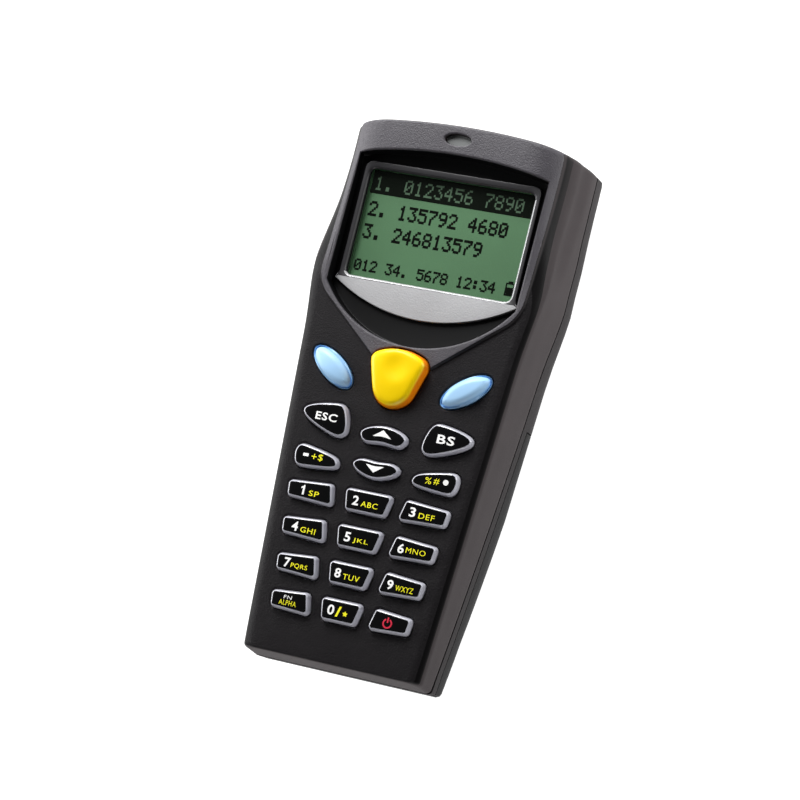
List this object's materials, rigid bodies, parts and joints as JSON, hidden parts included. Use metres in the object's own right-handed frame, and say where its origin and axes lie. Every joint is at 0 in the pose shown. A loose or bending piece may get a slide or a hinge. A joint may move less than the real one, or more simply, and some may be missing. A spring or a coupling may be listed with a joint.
{
  "type": "portable barcode data terminal",
  "caption": "Hand-held terminal with a recessed display, a keypad with a scan key, a scan window in the head end and a slide-off battery door.",
  "frame": {"origin": "centre of the bounding box at its lowest plane, which is the flat back that the terminal lies on", "axes": "+X to the user's right, +Y from the tail to the head with the display, +Z out of the keypad face"},
  "size_m": [0.0558, 0.1226, 0.0326],
  "materials": {
    "shell_black": "moulded ABS with a fine spark-eroded grain",
    "bezel_silver": "satin metallic silver paint on plastic",
    "window_clear": "clear hard-coated acrylic",
    "lcd_green": "green reflective liquid crystal glass",
    "rubber_grey": "moulded silicone and foam",
    "lens_grey": "translucent light pipe",
    "scan_red": "dark red filter acrylic",
    "chip_black": "moulded package",
    "board_green": "glass-epoxy laminate with green solder mask",
    "nickel": "nickel-plated spring steel",
    "cell_can": "printed foil sleeve over a steel can",
    "screw_steel": "black zinc-plated steel",
    "key_yellow": "gloss yellow keycap",
    "key_blue": "satin light blue keycap",
    "key_black": "gloss black printed top on a silver-grey skirt"
  },
  "bodies": {
    "housing": {"front_shell": "shell_black", "rear_shell": "shell_black", "display_bezel": "bezel_silver", "display_window": "window_clear", "lcd_module": "lcd_green", "display_gasket": "rubber_grey", "indicator_lens": "lens_grey", "scan_window": "scan_red", "scan_engine": "chip_black", "keypad_mat": "rubber_grey", "main_board": "board_green", "board_parts": "chip_black", "buzzer": "chip_black", "backup_cell": "nickel", "cells": "cell_can", "cell_springs": "nickel", "cell_plates": "nickel", "case_screws": "screw_steel", "tail_screws": "screw_steel"},
    "door": {"battery_door": "shell_black"},
    "key_scan": {"key_scan": "key_yellow"},
    "key_blue_left": {"key_blue_left": "key_blue"},
    "key_blue_right": {"key_blue_right": "key_blue"},
    "key_esc": {"key_esc": "key_black"},
    "key_bs": {"key_bs": "key_black"},
    "key_up": {"key_up": "key_black"},
    "key_down": {"key_down": "key_black"},
    "key_minus": {"key_minus": "key_black"},
    "key_percent": {"key_percent": "key_black"},
    "key_1": {"key_1": "key_black"},
    "key_2": {"key_2": "key_black"},
    "key_3": {"key_3": "key_black"},
    "key_4": {"key_4": "key_black"},
    "key_5": {"key_5": "key_black"},
    "key_6": {"key_6": "key_black"},
    "key_7": {"key_7": "key_black"},
    "key_8": {"key_8": "key_black"},
    "key_9": {"key_9": "key_black"},
    "key_fn": {"key_fn": "key_black"},
    "key_0": {"key_0": "key_black"},
    "key_power": {"key_power": "key_black"}
  },
  "joints": [
    {"name": "door_slide", "type": "slide", "parent": "housing", "child": "door", "axis": [0, -1, 0], "range_m": [0, 0.008]},
    {"name": "key_scan_press", "type": "slide", "parent": "housing", "child": "key_scan", "axis": [0, 0, -1], "range_m": [0, 0.0008], "stiffness_N_per_m": 1500},
    {"name": "key_blue_left_press", "type": "slide", "parent": "housing", "child": "key_blue_left", "axis": [0, 0, -1], "range_m": [0, 0.0008], "stiffness_N_per_m": 1500},
    {"name": "key_blue_right_press", "type": "slide", "parent": "housing", "child": "key_blue_right", "axis": [0, 0, -1], "range_m": [0, 0.0008], "stiffness_N_per_m": 1500},
    {"name": "key_esc_press", "type": "slide", "parent": "housing", "child": "key_esc", "axis": [0, 0, -1], "range_m": [0, 0.0008], "stiffness_N_per_m": 1500},
    {"name": "key_bs_press", "type": "slide", "parent": "housing", "child": "key_bs", "axis": [0, 0, -1], "range_m": [0, 0.0008], "stiffness_N_per_m": 1500},
    {"name": "key_up_press", "type": "slide", "parent": "housing", "child": "key_up", "axis": [0, 0, -1], "range_m": [0, 0.0008], "stiffness_N_per_m": 1500},
    {"name": "key_down_press", "type": "slide", "parent": "housing", "child": "key_down", "axis": [0, 0, -1], "range_m": [0, 0.0008], "stiffness_N_per_m": 1500},
    {"name": "key_minus_press", "type": "slide", "parent": "housing", "child": "key_minus", "axis": [0, 0, -1], "range_m": [0, 0.0008], "stiffness_N_per_m": 1500},
    {"name": "key_percent_press", "type": "slide", "parent": "housing", "child": "key_percent", "axis": [0, 0, -1], "range_m": [0, 0.0008], "stiffness_N_per_m": 1500},
    {"name": "key_1_press", "type": "slide", "parent": "housing", "child": "key_1", "axis": [0, 0, -1], "range_m": [0, 0.0008], "stiffness_N_per_m": 1500},
    {"name": "key_2_press", "type": "slide", "parent": "housing", "child": "key_2", "axis": [0, 0, -1], "range_m": [0, 0.0008], "stiffness_N_per_m": 1500},
    {"name": "key_3_press", "type": "slide", "parent": "housing", "child": "key_3", "axis": [0, 0, -1], "range_m": [0, 0.0008], "stiffness_N_per_m": 1500},
    {"name": "key_4_press", "type": "slide", "parent": "housing", "child": "key_4", "axis": [0, 0, -1], "range_m": [0, 0.0008], "stiffness_N_per_m": 1500},
    {"name": "key_5_press", "type": "slide", "parent": "housing", "child": "key_5", "axis": [0, 0, -1], "range_m": [0, 0.0008], "stiffness_N_per_m": 1500},
    {"name": "key_6_press", "type": "slide", "parent": "housing", "child": "key_6", "axis": [0, 0, -1], "range_m": [0, 0.0008], "stiffness_N_per_m": 1500},
    {"name": "key_7_press", "type": "slide", "parent": "housing", "child": "key_7", "axis": [0, 0, -1], "range_m": [0, 0.0008], "stiffness_N_per_m": 1500},
    {"name": "key_8_press", "type": "slide", "parent": "housing", "child": "key_8", "axis": [0, 0, -1], "range_m": [0, 0.0008], "stiffness_N_per_m": 1500},
    {"name": "key_9_press", "type": "slide", "parent": "housing", "child": "key_9", "axis": [0, 0, -1], "range_m": [0, 0.0008], "stiffness_N_per_m": 1500},
    {"name": "key_fn_press", "type": "slide", "parent": "housing", "child": "key_fn", "axis": [0, 0, -1], "range_m": [0, 0.0008], "stiffness_N_per_m": 1500},
    {"name": "key_0_press", "type": "slide", "parent": "housing", "child": "key_0", "axis": [0, 0, -1], "range_m": [0, 0.0008], "stiffness_N_per_m": 1500},
    {"name": "key_power_press", "type": "slide", "parent": "housing", "child": "key_power", "axis": [0, 0, -1], "range_m": [0, 0.0008], "stiffness_N_per_m": 1500}
  ]
}
